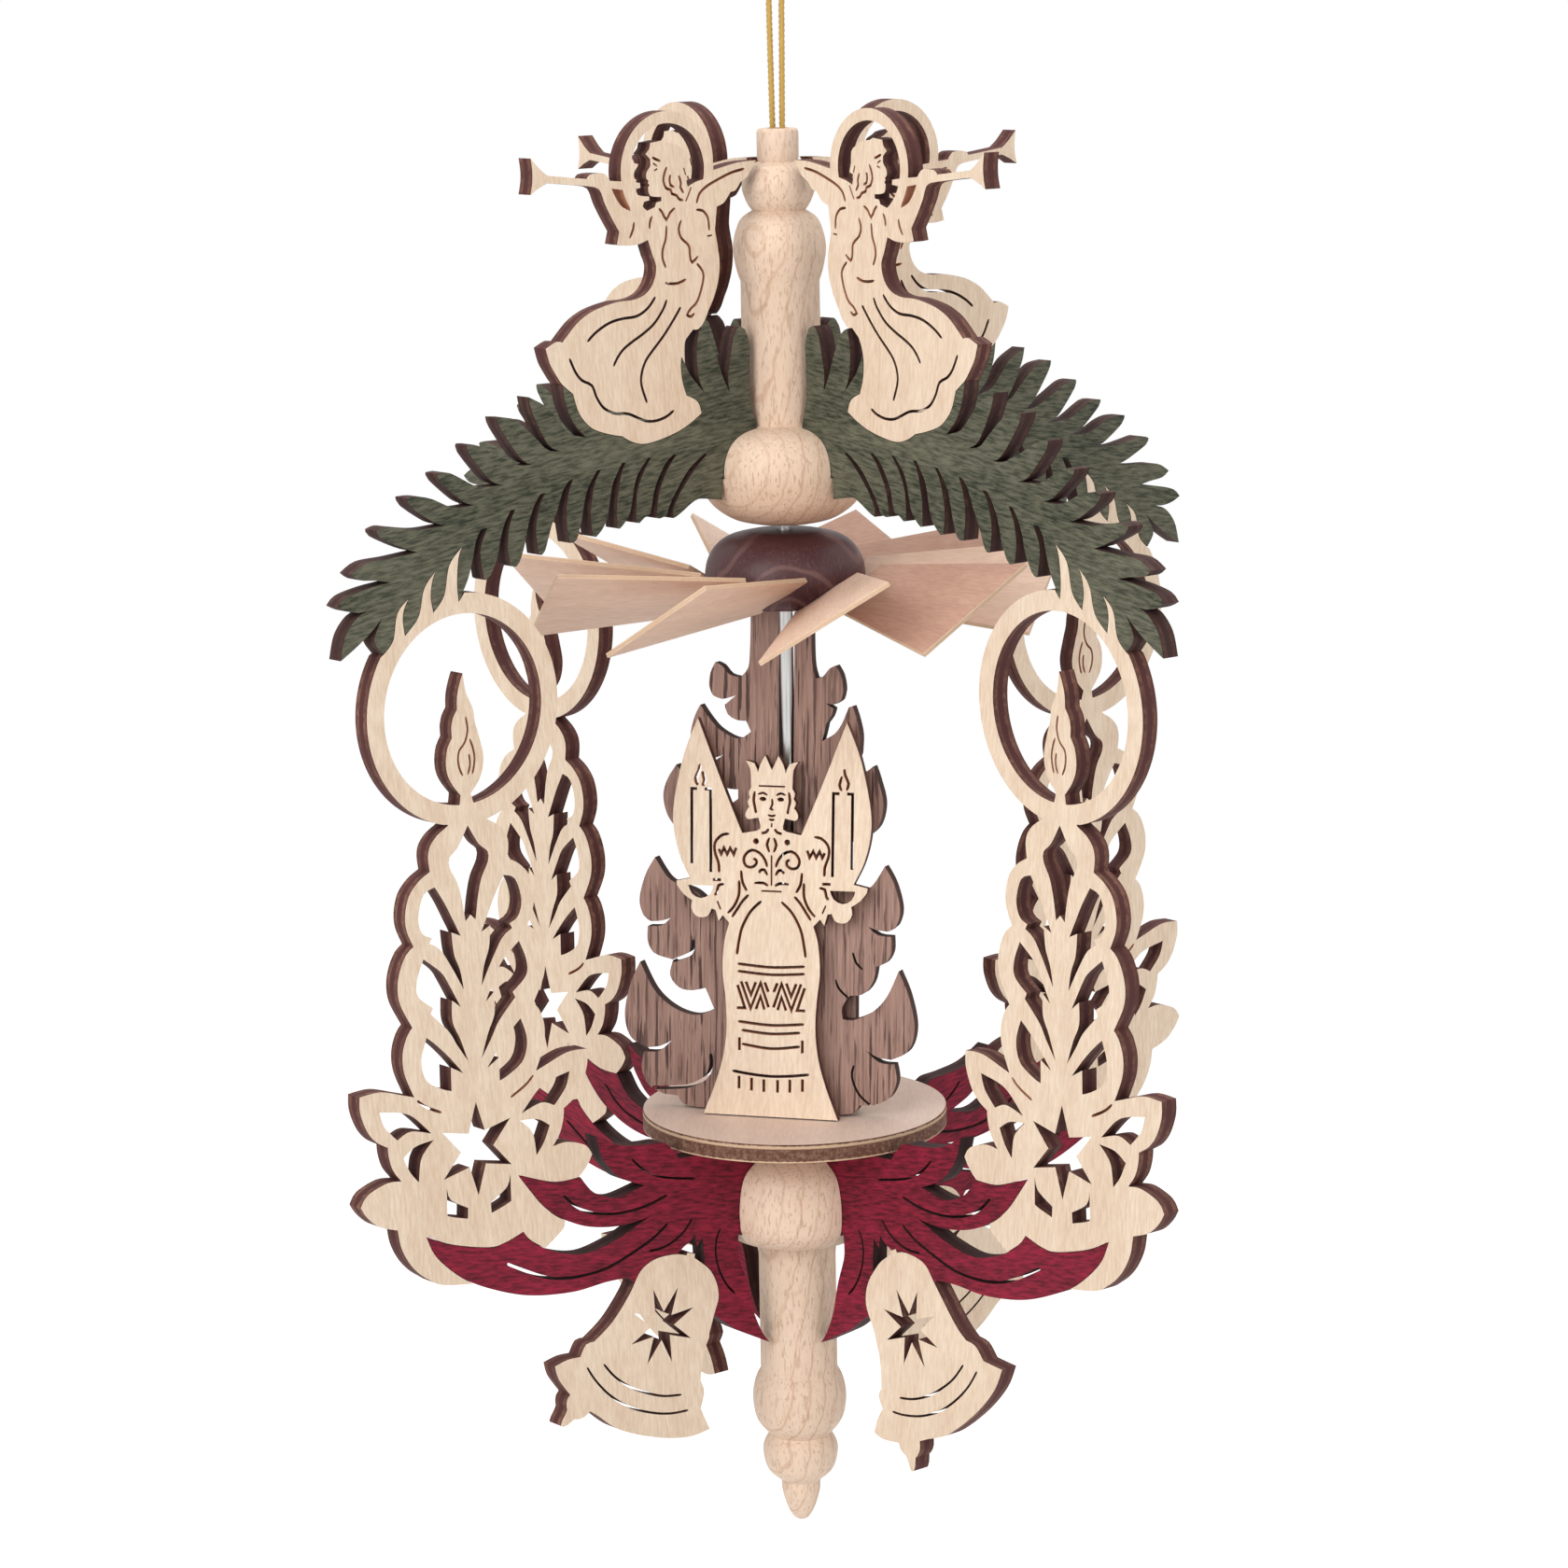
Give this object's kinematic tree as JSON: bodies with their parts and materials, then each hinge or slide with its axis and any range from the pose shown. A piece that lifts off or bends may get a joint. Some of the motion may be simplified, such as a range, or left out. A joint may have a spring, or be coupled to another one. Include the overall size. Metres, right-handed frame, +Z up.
{
  "type": "hanging heat spinner",
  "caption": "Hanging wooden heat spinner: fretwork panels of angels, branches, columns and bells round a bladed rotor that turns a small tree and a light-bearing figure.",
  "frame": {"origin": "top of the hanging cord's loop, on the spinner's upright axis", "axes": "+Z up along the shaft, -Y towards the viewer of the picture, +X to the viewer's right; the panels stand on the diagonals"},
  "size_m": [0.1248, 0.1248, 0.2592],
  "materials": {
    "birch_ply": "bare",
    "green_ply": "stained",
    "red_ply": "stained",
    "turned_beech": "satin",
    "walnut": "bare",
    "dark_hub": "satin",
    "veneer": "bare",
    "steel": "polished",
    "brass": "satin",
    "gold_cord": "metallic thread"
  },
  "bodies": {
    "frame": {"angel_front_left": "birch_ply", "fir_branch_front_left": "green_ply", "column_front_left": "birch_ply", "spray_front_left": "red_ply", "bell_front_left": "birch_ply", "angel_front_right": "birch_ply", "fir_branch_front_right": "green_ply", "column_front_right": "birch_ply", "spray_front_right": "red_ply", "bell_front_right": "birch_ply", "angel_back_right": "birch_ply", "fir_branch_back_right": "green_ply", "column_back_right": "birch_ply", "spray_back_right": "red_ply", "bell_back_right": "birch_ply", "angel_back_left": "birch_ply", "fir_branch_back_left": "green_ply", "column_back_left": "birch_ply", "spray_back_left": "red_ply", "bell_back_left": "birch_ply", "upper_finial": "turned_beech", "lower_finial": "turned_beech", "guide_bush": "brass", "bearing_cup": "steel", "hanging_cord": "gold_cord"},
    "rotor": {"shaft": "steel", "rotor_hub": "dark_hub", "blade_01": "veneer", "blade_02": "veneer", "blade_03": "veneer", "blade_04": "veneer", "blade_05": "veneer", "blade_06": "veneer", "blade_07": "veneer", "blade_08": "veneer", "blade_09": "veneer", "blade_10": "veneer", "turntable_disc": "birch_ply", "tree": "walnut", "light_bearer": "birch_ply", "tree_batten": "walnut"}
  },
  "joints": [
    {"name": "rotor_spin", "type": "hinge", "parent": "frame", "child": "rotor", "pos_m": [0, 0, 0], "axis": [0, 0, 1], "continuous": true}
  ]
}
